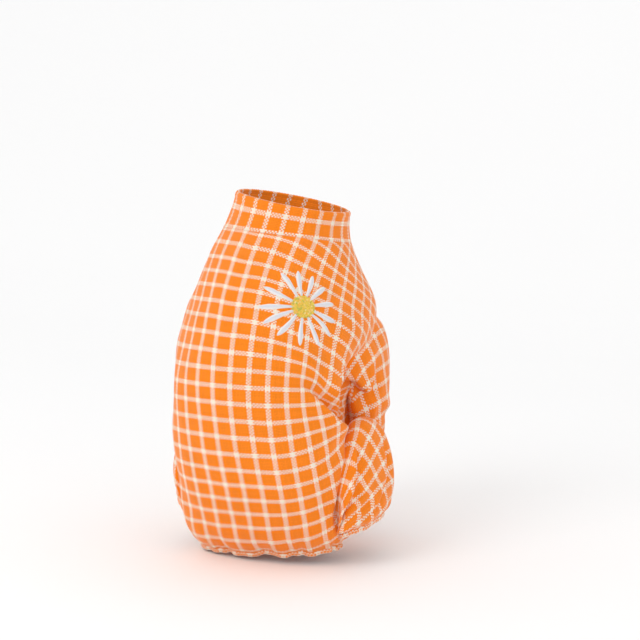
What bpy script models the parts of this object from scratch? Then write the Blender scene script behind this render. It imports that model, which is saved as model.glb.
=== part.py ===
# A check-cotton jumpsuit for a small dog, in the shape that it has on a sitting wearer.
# +Z is up and the wearer faces -Y, so its back is at +Y and its left side at +X.
# The origin is the middle of the neck seam. All sizes are in metres.
import math
from collections import namedtuple

import bmesh
import bpy
from mathutils import Matrix, Vector
from mathutils.bvhtree import BVHTree

# Cloth and clearances
CLOTH = 0.0015              # wall of the body, sleeves and legs
SEAM_GAP = 0.0003           # clearance between pieces that are sewn together
TRIM_GAP = 0.0004           # clearance under embroidery and placket

# Body
NECK_RADIUS = 0.0425        # outer radius of the cloth at the neck seam
NECK_LEAN_FORWARD = math.radians(9)
NECK_LEAN_RIGHT = math.radians(4)
BACK_REACH = 0.0995         # neck middle to the furthest point of the back
CHEST_REACH = 0.052         # neck middle to the front of the chest
SEAT_DROP = 0.206           # neck middle down to the lowest point of the seat
HIP_HALF_WIDTH = 0.061      # half the width over the hips
SEAT_LEAN_LEFT = math.radians(4)    # the seat's edge hangs lower on the left

# Collar: a doubled band that stands up from the neck seam
COLLAR_HEIGHT = 0.023
COLLAR_CLOTH = 0.0026
COLLAR_TOP_RADIUS = 0.038
COLLAR_LEAN_FORWARD = math.radians(5)
COLLAR_LEAN_RIGHT = math.radians(9.6)

# Sleeves, from the middle plane and the neck middle
SLEEVE_OUT = 0.061          # furthest point out to the side
SLEEVE_DROP = 0.164         # down to the sleeve's end
SLEEVE_FORE = 0.044         # forward of the neck middle at the sleeve's end
SLEEVE_HALF_DEPTH = 0.036   # half the sleeve's size front to back at the shoulder

# Hind legs
LEG_OUT_LEFT = 0.071        # furthest point of the left thigh out to the side
LEG_OUT_RIGHT = 0.076       # the same on the right, where the knee stands out more
LEG_DROP = 0.199            # down to the leg's end
LEG_BACK = 0.0315           # behind the neck middle, at the hip
LEG_HALF_DEPTH = 0.039      # half the thigh's size front to back

# Gathered hems. A start is the share along a tube where its gathers begin, and where its own
# folds die away.
SEAT_GATHERS = 16
SEAT_GATHER_DEPTH = 0.0016
SEAT_GATHER_START = 0.84
LIMB_GATHERS = 8
LIMB_GATHER_DEPTH = 0.0007
LIMB_GATHER_START = 0.80
HEM_HEIGHT = 0.0042
HEM_THICKNESS = 0.0024

# Placket down the chest and belly
PLACKET_WIDTH = 0.015
PLACKET_CLOTH = 0.0012

# Embroidered daisy on the right of the back
DAISY_ALONG = 0.238         # share of the back's length below the neck seam
DAISY_TURN = math.radians(-46.6)    # from the spine, to the right
DAISY_CENTRE_RADIUS = 0.0078
DAISY_CENTRE_HEIGHT = 0.0012
PETAL_REACH = 0.0295        # daisy's middle to the tip of its longest petal
PETAL_HALF_WIDTH = 0.0019
PETAL_HEIGHT = 0.0009

# Mesh fineness
BODY_COLUMNS = 48           # three to each gather of the seat
BODY_ROWS = 20
SLEEVE_COLUMNS = 18
LEG_COLUMNS = 24
LIMB_ROWS = 12

ORANGE = (0.91, 0.235, 0.012, 1.0)
DEEP_ORANGE = (0.80, 0.17, 0.008, 1.0)
WHITE = (0.86, 0.86, 0.90, 1.0)
YELLOW = (0.85, 0.60, 0.045, 1.0)

# The body's rings from the neck to the seat, each a plane oval through a point of the back and
# a point of the front. back_out is a share of BACK_REACH, front_out of CHEST_REACH, the downs
# of SEAT_DROP and half_width of HIP_HALF_WIDTH. egg widens the ring's back half.
BodyRing = namedtuple("BodyRing", "back_out back_down front_out front_down half_width egg")
BODY_RINGS = (
    BodyRing(0.63, 0.04, 0.9, 0.13, 0.83, -0.12),
    BodyRing(0.79, 0.12, 1.04, 0.23, 0.94, -0.2),
    BodyRing(0.91, 0.22, 1.02, 0.32, 0.97, -0.12),
    BodyRing(0.985, 0.33, 0.83, 0.42, 0.96, 0.02),
    BodyRing(1.0, 0.44, 0.58, 0.52, 0.95, 0.12),
    BodyRing(0.96, 0.555, 0.39, 0.61, 0.95, 0.17),
    BodyRing(0.885, 0.67, 0.26, 0.7, 0.95, 0.2),
    BodyRing(0.785, 0.785, 0.18, 0.8, 0.93, 0.22),
    BodyRing(0.66, 0.895, 0.12, 0.885, 0.89, 0.24),
    BodyRing(0.5, 0.985, 0.05, 0.95, 0.81, 0.25),
)

# A limb's rings, each a plane oval between an inner and an outer point, with the fore-and-aft
# place and half depth of its middle. Sleeves: out is a share of SLEEVE_OUT, down of
# SLEEVE_DROP, fore of SLEEVE_FORE and half_depth of SLEEVE_HALF_DEPTH.
LimbRing = namedtuple("LimbRing", "inner_out inner_down outer_out outer_down fore half_depth")
SLEEVE_RINGS = (
    LimbRing(0.393, 0.579, 0.459, 0.244, 0.14, 0.94),
    LimbRing(0.541, 0.591, 0.787, 0.256, 0.18, 1.00),
    LimbRing(0.574, 0.610, 0.918, 0.317, 0.27, 0.97),
    LimbRing(0.557, 0.652, 0.992, 0.427, 0.41, 0.86),
    LimbRing(0.492, 0.713, 1.000, 0.561, 0.57, 0.74),
    LimbRing(0.426, 0.787, 0.951, 0.720, 0.70, 0.62),
    LimbRing(0.361, 0.878, 0.852, 0.872, 0.86, 0.51),
    LimbRing(0.311, 0.976, 0.738, 1.000, 1.00, 0.42),
)
# Legs: out is a share of LEG_OUT, down of LEG_DROP, fore of LEG_BACK (positive is behind the
# neck middle) and half_depth of LEG_HALF_DEPTH.
LEG_RINGS = (
    LimbRing(0.487, 0.910, 0.500, 0.623, 1.00, 0.90),
    LimbRing(0.526, 0.915, 0.632, 0.618, 0.90, 0.95),
    LimbRing(0.566, 0.922, 0.789, 0.628, 0.74, 1.00),
    LimbRing(0.605, 0.930, 0.947, 0.668, 0.58, 1.00),
    LimbRing(0.645, 0.937, 1.000, 0.734, 0.42, 0.95),
    LimbRing(0.671, 0.947, 1.000, 0.824, 0.29, 0.82),
    LimbRing(0.668, 0.966, 0.980, 0.902, 0.19, 0.67),
    LimbRing(0.711, 0.995, 0.934, 0.955, 0.13, 0.51),
)

# Petals, each at a turn in degrees from level towards the top, with its reach as a share of
# PETAL_REACH.
Petal = namedtuple("Petal", "turn reach")
PETALS = (
    Petal(83, 0.82),
    Petal(58, 0.79),
    Petal(31, 0.77),
    Petal(2, 0.80),
    Petal(-25, 0.85),
    Petal(-47, 0.89),
    Petal(-75, 0.895),
    Petal(-108, 0.87),
    Petal(-143, 0.915),
    Petal(-166, 1.00),
    Petal(173, 1.00),
    Petal(144, 0.935),
    Petal(110, 0.87),
)
# A petal's outline and crown at shares of the way from its root to its tip, as shares of
# PETAL_HALF_WIDTH and PETAL_HEIGHT.
PetalSection = namedtuple("PetalSection", "place half_width height")
PETAL_SECTIONS = (
    PetalSection(0.00, 0.42, 0.60),
    PetalSection(0.25, 0.60, 0.85),
    PetalSection(0.50, 0.88, 1.00),
    PetalSection(0.70, 1.00, 1.00),
    PetalSection(0.88, 0.72, 0.85),
    PetalSection(1.00, 0.22, 0.50),
)

# Folds are long rounded ridges (height above 0) or valleys on a surface, between two places
# given by the share along it and the turn round it in degrees. half_width is a share of
# HIP_HALF_WIDTH and height of HIP_HALF_WIDTH too. On the body a positive turn is on the left.
Fold = namedtuple("Fold", "along turn end_along end_turn half_width height")
BODY_FOLDS = (
    Fold(0.48, -42, 0.63, -74, 0.15, 0.085),
    Fold(0.46, -66, 0.62, -98, 0.17, -0.100),
    Fold(0.64, -96, 0.98, -90, 0.22, -0.130),
    Fold(0.48, 46, 0.62, 76, 0.15, 0.050),
    Fold(0.46, 76, 0.62, 100, 0.17, -0.070),
    Fold(0.64, 98, 0.98, 92, 0.22, -0.110),
    Fold(0.14, 150, 0.34, 120, 0.12, 0.030),
    Fold(0.14, -150, 0.34, -120, 0.12, 0.030),
    Fold(0.55, 168, 0.60, 128, 0.10, -0.035),
    Fold(0.62, -165, 0.66, -128, 0.10, -0.035),
)
SLEEVE_FOLDS = (
    Fold(0.42, 150, 0.56, 40, 0.09, -0.035),
    Fold(0.60, -160, 0.52, -50, 0.08, -0.035),
    Fold(0.66, 60, 0.74, 170, 0.07, 0.025),
    Fold(0.78, -20, 0.84, 110, 0.06, -0.020),
)
LEG_FOLDS = (
    Fold(0.40, -60, 0.95, -100, 0.10, -0.040),
    Fold(0.45, 20, 0.96, 60, 0.09, -0.030),
    Fold(0.50, -15, 0.92, -40, 0.09, 0.025),
    Fold(0.42, 75, 0.85, 110, 0.10, -0.030),
)


# Outer faces of the cloth, as points for a share along (0 to 1) and a turn round in radians.

def smooth_row(rows, share):
    """The table's row at this share of its length, on a smooth curve through its rows."""
    place = min(max(share, 0.0), 1.0) * (len(rows) - 1)
    index = min(int(place), len(rows) - 2)
    t = place - index
    near = [rows[min(max(index + step, 0), len(rows) - 1)] for step in (-1, 0, 1, 2)]
    values = []
    for a, b, c, d in zip(*near):
        slope_b, slope_c = (c - a) / 2, (d - b) / 2
        values.append(
            (2 * t**3 - 3 * t**2 + 1) * b + (t**3 - 2 * t**2 + t) * slope_b
            + (3 * t**2 - 2 * t**3) * c + (t**3 - t**2) * slope_c
        )
    return type(rows[0])(*values)


def ease(value):
    value = min(max(value, 0.0), 1.0)
    return value * value * (3 - 2 * value)


def neck_ring():
    """The neck seam as a row of the body's table, from the neck's own sizes."""
    out, rise = (NECK_RADIUS * f(NECK_LEAN_FORWARD) for f in (math.cos, math.sin))
    return BodyRing(
        out / BACK_REACH, -rise / SEAT_DROP, out / CHEST_REACH, rise / SEAT_DROP,
        NECK_RADIUS / HIP_HALF_WIDTH, 0.0,
    )


def fold_push(folds, along, turn, length, radius):
    """How far the folds push the surface out at this place."""
    push = 0.0
    for fold in folds:
        start = Vector((fold.along * length, math.radians(fold.turn) * radius))
        end = Vector((fold.end_along * length, math.radians(fold.end_turn) * radius))
        for whole_turn in (-1, 0, 1):
            place = Vector((along * length, (turn + whole_turn * math.tau) * radius))
            share = (place - start).dot(end - start) / (end - start).length_squared
            nearest = start + (end - start) * min(max(share, 0.0), 1.0)
            far = (place - nearest).length / (fold.half_width * HIP_HALF_WIDTH)
            push += fold.height * HIP_HALF_WIDTH * math.exp(-far * far)
    return push


def hem_pull(along, start):
    """How far the pull of a hem has grown here, from 0 at its start to 1 at the tube's end."""
    return ease((along - start) / (1 - start))


def gathers(turn, count, depth):
    """The ripples that an elastic hem draws the cloth into."""
    return -depth * (1 + math.cos(count * turn))


def plain_body(along, turn):
    ring = smooth_row((neck_ring(), *BODY_RINGS), along)
    back = Vector((0, ring.back_out * BACK_REACH, -ring.back_down * SEAT_DROP))
    front = Vector((0, -ring.front_out * CHEST_REACH, -ring.front_down * SEAT_DROP))
    side = ring.half_width * HIP_HALF_WIDTH * math.sin(turn) * (1 + ring.egg * math.cos(turn))
    point = (back + front) / 2 + (back - front) / 2 * math.cos(turn) + Vector((side, 0, 0))
    point.z -= point.x * math.tan(SEAT_LEAN_LEFT) * ease((along - 0.7) / 0.3)
    lean = NECK_LEAN_RIGHT * (1 - ease(along / 0.3))
    return Matrix.Rotation(-lean, 3, "Y") @ point


def plain_limb(rings, side, sizes, along, turn):
    """sizes are what the table's out, down, fore and half_depth are shares of."""
    out, down, fore, half_depth = sizes
    ring = smooth_row(rings, along)
    inner = Vector((side * ring.inner_out * out, 0, -ring.inner_down * down))
    outer = Vector((side * ring.outer_out * out, 0, -ring.outer_down * down))
    middle = (inner + outer) / 2 + Vector((0, ring.fore * fore, 0))
    across = Vector((0, ring.half_depth * half_depth * math.sin(turn), 0))
    return middle + (outer - inner) / 2 * math.cos(turn) + across


def pushed(plain, push, facing, along, turn):
    """A point of the plain surface, moved out by push(along, turn). facing is 1 where the turn
    goes clockwise seen from the surface's start, and -1 where it goes the other way."""
    step = 0.01
    low, high = max(along - step, 0.0), min(along + step, 1.0)
    onward = plain(high, turn) - plain(low, turn)
    around = plain(along, turn + step) - plain(along, turn - step)
    normal = around.cross(onward).normalized() * facing
    return plain(along, turn) + normal * push(along, turn)


def body_surface(along, turn):
    def push(along, turn):
        folds = fold_push(BODY_FOLDS, along, turn, SEAT_DROP + NECK_RADIUS, HIP_HALF_WIDTH)
        pull = hem_pull(along, SEAT_GATHER_START)
        flat_front = ease(1 + math.cos(turn))
        depth = SEAT_GATHER_DEPTH * flat_front
        return folds * (1 - pull) + gathers(turn, SEAT_GATHERS, depth) * pull

    return pushed(plain_body, push, 1, along, turn)


def sleeve_surface(side):
    def plain(along, turn):
        sizes = (SLEEVE_OUT, SLEEVE_DROP, -SLEEVE_FORE, SLEEVE_HALF_DEPTH)
        return plain_limb(SLEEVE_RINGS, side, sizes, along, turn)

    def push(along, turn):
        folds = fold_push(SLEEVE_FOLDS, along, turn, SLEEVE_DROP, SLEEVE_HALF_DEPTH)
        pull = hem_pull(along, LIMB_GATHER_START)
        return folds * (1 - pull) + gathers(turn, LIMB_GATHERS, LIMB_GATHER_DEPTH) * pull

    return lambda along, turn: pushed(plain, push, -side, along, turn)


def leg_surface(side):
    out = LEG_OUT_LEFT if side > 0 else LEG_OUT_RIGHT

    def plain(along, turn):
        return plain_limb(LEG_RINGS, side, (out, LEG_DROP, LEG_BACK, LEG_HALF_DEPTH), along, turn)

    def push(along, turn):
        folds = fold_push(LEG_FOLDS, along, turn, LEG_DROP / 2, LEG_HALF_DEPTH)
        pull = hem_pull(along, LIMB_GATHER_START)
        return folds * (1 - pull) + gathers(turn, LIMB_GATHERS, LIMB_GATHER_DEPTH) * pull

    return lambda along, turn: pushed(plain, push, -side, along, turn)


def end_direction(surface):
    """The way that a tube surface opens at its end, square to its last ring."""
    quarters = [surface(1.0, math.tau * i / 4) for i in range(4)]
    across = (quarters[0] - quarters[2]).cross(quarters[1] - quarters[3]).normalized()
    onward = surface(1.0, 0) + surface(1.0, math.pi) - surface(0.93, 0) - surface(0.93, math.pi)
    return across if across.dot(onward) > 0 else -across


# Meshes and objects

def loft(rings, capped=False):
    """A tube through rings of points, one after the other, closed at both ends if capped."""
    bm = bmesh.new()
    loops = [[bm.verts.new(point) for point in ring] for ring in rings]
    for lower, upper in zip(loops, loops[1:]):
        for i in range(len(lower)):
            j = (i + 1) % len(lower)
            bm.faces.new((lower[i], lower[j], upper[i]))
            bm.faces.new((lower[j], upper[j], upper[i]))
    if capped:
        bm.faces.new(loops[0])
        bm.faces.new(loops[-1])
    bmesh.ops.recalc_face_normals(bm, faces=bm.faces)
    if capped and bm.calc_volume(signed=True) < 0:
        bmesh.ops.reverse_faces(bm, faces=bm.faces)
    return bm


def grown(bm, distance):
    """Moves a closed mesh's points out along their normals."""
    bm.normal_update()
    moves = [vert.normal * distance for vert in bm.verts]
    for vert, move in zip(bm.verts, moves):
        vert.co += move
    return bm


def tube_rings(surface, rows, columns, start=0.0, end=1.0):
    turns = [math.tau * i / columns for i in range(columns)]
    shares = [start + (end - start) * row / rows for row in range(rows + 1)]
    return [[surface(share, turn) for turn in turns] for share in shares]


def new_object(name, bm, collection, colour=None, roughness=0.85):
    mesh = bpy.data.meshes.new(name)
    bm.to_mesh(mesh)
    bm.free()
    obj = bpy.data.objects.new(name, mesh)
    collection.objects.link(obj)
    if colour is None:
        obj.hide_render = True
        obj.display_type = "WIRE"
        return obj
    mesh.shade_smooth()
    mesh.set_sharp_from_angle(angle=math.radians(50))
    material = bpy.data.materials.new(name)
    material.use_nodes = True
    shader = material.node_tree.nodes["Principled BSDF"]
    shader.inputs["Base Color"].default_value = colour
    shader.inputs["Roughness"].default_value = roughness
    mesh.materials.append(material)
    return obj


def add_wall(obj, thickness):
    """Turns an open cloth surface into a wall that lies inside it."""
    bm = bmesh.new()
    bm.from_mesh(obj.data)
    turn_outward(bm)
    bm.to_mesh(obj.data)
    bm.free()
    solidify = obj.modifiers.new("Wall", "SOLIDIFY")
    solidify.thickness = thickness
    solidify.offset = -1
    solidify.use_even_offset = True


def turn_outward(bm):
    """Faces of an open ring or tube point away from its middle."""
    middle = sum((vert.co for vert in bm.verts), Vector()) / len(bm.verts)
    bm.normal_update()
    if sum(face.normal.dot(face.calc_center_median() - middle) for face in bm.faces) < 0:
        bmesh.ops.reverse_faces(bm, faces=bm.faces)


def cut(obj, cutter):
    boolean = obj.modifiers.new("Cut " + cutter.name, "BOOLEAN")
    boolean.operation = "DIFFERENCE"
    boolean.solver = "EXACT"
    boolean.object = cutter


def make_body(suit, cutters, bores):
    body = new_object("body", loft(tube_rings(body_surface, BODY_ROWS, BODY_COLUMNS)), suit, ORANGE)
    add_wall(body, CLOTH)
    for bore in bores:
        cut(body, bore)
    block = grown(loft(tube_rings(body_surface, BODY_ROWS, BODY_COLUMNS), capped=True), SEAM_GAP)
    return body, new_object("body_block", block, cutters)


def make_bore(name, surface, columns, cutters):
    """The inside of a limb, as a solid that opens the body's wall."""
    inside = grown(loft(tube_rings(surface, LIMB_ROWS, columns), capped=True), -CLOTH)
    return new_object(name, inside, cutters)


def make_limb(name, surface, columns, suit, body_block):
    limb = new_object(name, loft(tube_rings(surface, LIMB_ROWS, columns)), suit, ORANGE)
    add_wall(limb, CLOTH)
    cut(limb, body_block)
    return limb


def make_hem(name, surface, columns, suit):
    """The elastic casing that ends a tube of cloth, a little below the cloth's edge."""
    onward = end_direction(surface)
    edge = tube_rings(surface, 1, columns)[-1]
    rings = [[point + onward * far for point in edge] for far in (SEAM_GAP, HEM_HEIGHT)]
    hem = new_object(name, loft(rings), suit, DEEP_ORANGE)
    add_wall(hem, HEM_THICKNESS)
    return hem


def make_collar(suit):
    """The stand collar, from the neck seam up to its folded edge."""
    top_lean = (
        Matrix.Rotation(-COLLAR_LEAN_RIGHT, 3, "Y") @ Matrix.Rotation(COLLAR_LEAN_FORWARD, 3, "X")
    )
    top_middle = top_lean @ Vector((0, 0, COLLAR_HEIGHT))
    turns = [math.tau * i / BODY_COLUMNS for i in range(BODY_COLUMNS)]
    seam = [body_surface(0.0, turn) for turn in turns]
    edge = []
    for turn in turns:
        flat = Vector((math.sin(turn), math.cos(turn), 0)) * COLLAR_TOP_RADIUS
        edge.append(top_middle + top_lean @ flat)
    seat = [low + (high - low).normalized() * SEAM_GAP for low, high in zip(seam, edge)]
    waist = [low.lerp(high, 0.45) * (1 - 0.014) for low, high in zip(seat, edge)]
    collar = new_object("collar", loft([seat, waist, edge]), suit, ORANGE)
    add_wall(collar, COLLAR_CLOTH)
    return collar


def body_tree():
    """The body's outer face as it is meshed, for laying trim on it."""
    bm = loft(tube_rings(body_surface, BODY_ROWS, BODY_COLUMNS))
    turn_outward(bm)
    tree = BVHTree.FromBMesh(bm)
    bm.free()
    return tree


def make_placket(suit, tree):
    """One plain strip down the middle of the chest and belly, over the closing edges."""
    bm = bmesh.new()
    rows = []
    for row in range(BODY_ROWS + 1):
        middle = body_surface(row / BODY_ROWS, math.pi)
        points = []
        for share in (-1, -0.5, 0, 0.5, 1):
            beside = middle + Vector((share * PLACKET_WIDTH / 2, 0, 0))
            place, normal = tree.find_nearest(beside)[:2]
            points.append(bm.verts.new(place + normal * TRIM_GAP))
        rows.append(points)
    for upper, lower in zip(rows, rows[1:]):
        for i in range(4):
            bm.faces.new((upper[i], lower[i], lower[i + 1], upper[i + 1]))
    strip = new_object("belly_placket", bm, suit, ORANGE)
    solidify = strip.modifiers.new("Wall", "SOLIDIFY")
    solidify.thickness = PLACKET_CLOTH
    solidify.offset = 1


def daisy_frame():
    """Turns and moves from the daisy's own plane, with its top up, to its place on the back."""
    middle = body_surface(DAISY_ALONG, DAISY_TURN)
    step = 0.01
    onward = body_surface(DAISY_ALONG + step, DAISY_TURN) - middle
    around = body_surface(DAISY_ALONG, DAISY_TURN + step) - middle
    normal = around.cross(onward).normalized()
    top = (Vector((0, 0, 1)) - normal * normal.z).normalized()
    right = top.cross(normal)
    return Matrix.Translation(middle) @ Matrix((right, top, normal)).transposed().to_4x4()


def make_daisy(suit, tree):
    frame = daisy_frame()
    inward = -(frame.to_3x3() @ Vector((0, 0, 1)))

    def laid(x, y, height):
        """The point at this height over the cloth, for a place in the daisy's own plane."""
        above = frame @ Vector((x, y, BACK_REACH / 4))
        place, normal = tree.ray_cast(above, inward)[:2]
        return place + normal * (TRIM_GAP + height)

    rim = [math.tau * i / 20 for i in range(20)]
    layers = ((0.45, 0.0), (1.0, 0.0), (1.0, 0.45), (0.82, 0.85), (0.45, 1.0))
    dome = [
        [
            laid(
                DAISY_CENTRE_RADIUS * share * math.cos(turn),
                DAISY_CENTRE_RADIUS * share * math.sin(turn),
                DAISY_CENTRE_HEIGHT * height,
            )
            for turn in rim
        ]
        for share, height in layers
    ]
    new_object("daisy_centre", loft(dome, capped=True), suit, YELLOW)
    root = DAISY_CENTRE_RADIUS + TRIM_GAP
    for number, petal in enumerate(PETALS, 1):
        direction = Matrix.Rotation(math.radians(petal.turn), 2)
        rings = []
        for section in PETAL_SECTIONS:
            out = root + (PETAL_REACH * petal.reach - root) * section.place
            half_width = PETAL_HALF_WIDTH * section.half_width
            height = PETAL_HEIGHT * section.height
            corners = ((-1, 0), (-0.55, 1), (0.55, 1), (1, 0))
            ring = []
            for across, up in corners:
                x, y = direction @ Vector((out, half_width * across))
                ring.append(laid(x, y, height * up))
            rings.append(ring)
        new_object(f"daisy_petal_{number:02d}", loft(rings, capped=True), suit, WHITE)


def make_suit():
    for obj in list(bpy.data.objects):
        bpy.data.objects.remove(obj)
    suit = bpy.data.collections.new("dog jumpsuit")
    cutters = bpy.data.collections.new("cutters")
    for collection in (suit, cutters):
        bpy.context.scene.collection.children.link(collection)
    limbs = []
    for side, side_name in ((1, "left"), (-1, "right")):
        limbs.append(("sleeve_" + side_name, sleeve_surface(side), SLEEVE_COLUMNS))
        limbs.append(("leg_" + side_name, leg_surface(side), LEG_COLUMNS))
    bores = [make_bore(name + "_bore", surface, columns, cutters) for name, surface, columns in limbs]
    body, body_block = make_body(suit, cutters, bores)
    for name, surface, columns in limbs:
        make_limb(name, surface, columns, suit, body_block)
        make_hem(name + "_hem", surface, columns, suit)
    make_hem("seat_hem", body_surface, BODY_COLUMNS, suit)
    make_collar(suit)
    tree = body_tree()
    make_placket(suit, tree)
    make_daisy(suit, tree)


make_suit()
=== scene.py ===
# The looks of a check-cotton pet jumpsuit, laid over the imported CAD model.
# Metres throughout. +Z is up, the suit's back is at +Y and its left side at +X.
import math

import bmesh
import bpy
import numpy as np
from mathutils import Matrix, Vector
from mathutils.bvhtree import BVHTree
from mathutils.kdtree import KDTree


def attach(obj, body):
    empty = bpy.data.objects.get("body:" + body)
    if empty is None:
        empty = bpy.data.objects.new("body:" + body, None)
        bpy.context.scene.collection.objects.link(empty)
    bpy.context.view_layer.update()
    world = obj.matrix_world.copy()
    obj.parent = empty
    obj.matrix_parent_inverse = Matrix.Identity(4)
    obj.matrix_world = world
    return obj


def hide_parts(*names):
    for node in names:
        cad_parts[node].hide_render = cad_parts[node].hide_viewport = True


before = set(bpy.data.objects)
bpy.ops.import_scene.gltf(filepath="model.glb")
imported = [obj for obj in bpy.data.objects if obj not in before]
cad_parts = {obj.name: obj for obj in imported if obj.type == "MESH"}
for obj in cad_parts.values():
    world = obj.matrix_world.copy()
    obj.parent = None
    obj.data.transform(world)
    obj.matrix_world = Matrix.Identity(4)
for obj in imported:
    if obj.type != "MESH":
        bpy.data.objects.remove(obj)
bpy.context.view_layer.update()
fullTurn = 2 * math.pi
rng = np.random.default_rng(11)     # the same wrinkles each run
scene = bpy.context.scene
print("frame loaded")


# Camera: behind the suit and a little to its right
view = {
    "azimuth": 202, "elevation": 10, "distance": 1.4, "lens": 121,
    "target": (0, 0.05, -0.206), "right": 0.0403, "up": 0.155,      # and what it is moved by in the picture
}


def placeCamera():
    azimuth, elevation = math.radians(view["azimuth"]), math.radians(view["elevation"])
    back = Vector((
        math.sin(azimuth) * math.cos(elevation),
        -math.cos(azimuth) * math.cos(elevation),
        math.sin(elevation),
    ))
    right = Vector((0, 0, 1)).cross(back).normalized()
    up = back.cross(right)
    target = Vector(view["target"]) + right * view["right"] + up * view["up"]
    lens = bpy.data.cameras.new("camera")
    lens.lens = view["lens"]
    lens.sensor_width = 36
    camera = bpy.data.objects.new("camera", lens)
    turned = Matrix((right, up, back)).transposed().to_4x4()
    camera.matrix_world = Matrix.Translation(target + back * view["distance"]) @ turned
    scene.collection.objects.link(camera)
    scene.camera = camera


placeCamera()


# The cloth's shapes: the CAD model's, with the limbs fitted a little closer to the picture
bodyShape = {
    "neckRadius": 0.0425,
    "neckLeanForward": math.radians(9),
    "neckLeanRight": math.radians(4),
    "backReach": 0.0995,
    "chestReach": 0.052,
    "seatDrop": 0.206,
    "hipHalfWidth": 0.061,
    "seatLeanLeft": math.radians(4),
    "neckLeanEnd": 0.3,         # shares along, as the starts below
    "seatLeanStart": 0.7,
    # shares of the sizes above: back out, back down, front out, front down, half width, and how egg-shaped
    "rings": [
        (0.63, 0.04, 0.9, 0.13, 0.83, -0.12),
        (0.79, 0.12, 1.04, 0.23, 0.94, -0.2),
        (0.91, 0.22, 1.02, 0.32, 0.97, -0.12),
        (0.985, 0.33, 0.83, 0.42, 0.96, 0.02),
        (1.0, 0.44, 0.58, 0.52, 0.95, 0.12),
        (0.96, 0.555, 0.39, 0.61, 0.95, 0.17),
        (0.885, 0.67, 0.26, 0.7, 0.95, 0.2),
        (0.785, 0.785, 0.18, 0.8, 0.93, 0.22),
        (0.66, 0.895, 0.12, 0.885, 0.89, 0.24),
        (0.5, 0.985, 0.05, 0.95, 0.81, 0.25),
    ],
    "gatherStart": 0.83,
    "gatherDepth": 0.0024,
    "gathers": 36,
    "gatherWidth": 0.0030,
    "gatherRadius": 0.045,
    "bag": 0.0012,
    "waviness": 0.00042,
}
sleeveShape = {
    "outLeft": 0.061,
    "outRight": 0.061,
    "down": 0.164,
    "fore": -0.044,
    "halfDepth": 0.036,
    # shares of the sizes above: inner out, inner down, outer out, outer down, fore, half depth
    "rings": [
        (0.393, 0.579, 0.459, 0.244, 0.14, 0.94),
        (0.541, 0.591, 0.787, 0.256, 0.18, 1.00),
        (0.574, 0.610, 0.918, 0.317, 0.27, 0.97),
        (0.520, 0.655, 0.992, 0.427, 0.38, 0.90),
        (0.440, 0.716, 1.000, 0.561, 0.50, 0.82),
        (0.385, 0.790, 0.960, 0.720, 0.62, 0.72),
        (0.345, 0.878, 0.870, 0.872, 0.80, 0.56),
        (0.311, 0.976, 0.738, 1.000, 1.00, 0.42),
    ],
    "gatherStart": 0.84,
    "gatherDepth": 0.0011,
    "gathers": 13,
    "gatherWidth": 0.0020,
    "gatherRadius": 0.018,
    "bag": 0.0010,
    "waviness": 0.00035,
    "lengthShare": 1,           # of down, as the cloth's length
}
legShape = {
    "outLeft": 0.0685,
    "outRight": 0.0755,
    "down": 0.199,
    "fore": 0.0315,
    "halfDepth": 0.039,
    "rings": [
        (0.487, 0.910, 0.500, 0.623, 0.80, 0.70),
        (0.526, 0.915, 0.632, 0.600, 0.74, 0.76),
        (0.566, 0.922, 0.770, 0.570, 0.64, 0.86),
        (0.600, 0.930, 0.885, 0.592, 0.57, 0.96),
        (0.620, 0.933, 0.970, 0.680, 0.53, 1.00),
        (0.605, 0.940, 0.995, 0.780, 0.52, 0.97),
        (0.580, 0.952, 0.980, 0.860, 0.52, 0.90),
        (0.580, 0.968, 0.945, 0.905, 0.50, 0.78),
    ],
    "gatherStart": 0.74,
    "gatherDepth": 0.0018,
    "gathers": 17,
    "gatherWidth": 0.0025,
    "gatherRadius": 0.018,
    "bag": 0.0012,
    "waviness": 0.00035,
    "lengthShare": 0.5,
}

# Soft folds: along, turn, end along, end turn, half width, height. Along is a share of the length.
# Turns are degrees, to the left from the back's middle, or on a limb from its outer side to the back.
bodyFolds = [
    (0.64, -100, 0.98, -96, 0.014, -0.006),
    (0.440, -101, 0.522, -106, 0.0150, -0.0150),
    (0.650, -114, 0.70, -108, 0.0090, -0.0065),
    (0.50, 66, 0.74, 60, 0.0200, -0.0022),
    (0.07, 72, 0.16, 66, 0.0130, -0.0036),
    (0.31, 64, 0.35, 64, 0.0150, 0.0012),
    (0.46, 76, 0.62, 100, 0.010, -0.004),
    (0.64, 98, 0.98, 92, 0.0135, -0.0065),
    (0.14, 150, 0.34, 120, 0.0073, 0.0018),
    (0.14, -150, 0.34, -120, 0.0073, 0.0018),
    (0.55, 168, 0.60, 128, 0.006, -0.002),
    (0.62, -165, 0.66, -128, 0.006, -0.002),
    (0.30, -66, 0.40, -60, 0.006, -0.0012),
    (0.605, -86, 0.68, -58, 0.0050, -0.0013),
    (0.645, -88, 0.78, -68, 0.0050, -0.0014),
    (0.70, -70, 0.84, -52, 0.007, -0.0011),
    (0.78, -60, 0.93, -40, 0.006, 0.0008),
    (0.74, 58, 0.92, 30, 0.008, -0.0008),
]
sleeveFolds = [
    (0.54, 96, 0.68, 90, 0.0100, -0.0070),
    (0.40, -150, 0.52, -60, 0.005, -0.002),
    (0.66, 150, 0.74, -170, 0.0045, 0.0015),
    (0.70, 20, 0.78, -60, 0.0045, -0.0012),
    (0.34, 20, 0.46, 6, 0.004, -0.0009),
    (0.62, 10, 0.76, 42, 0.004, 0.0008),
]
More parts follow.
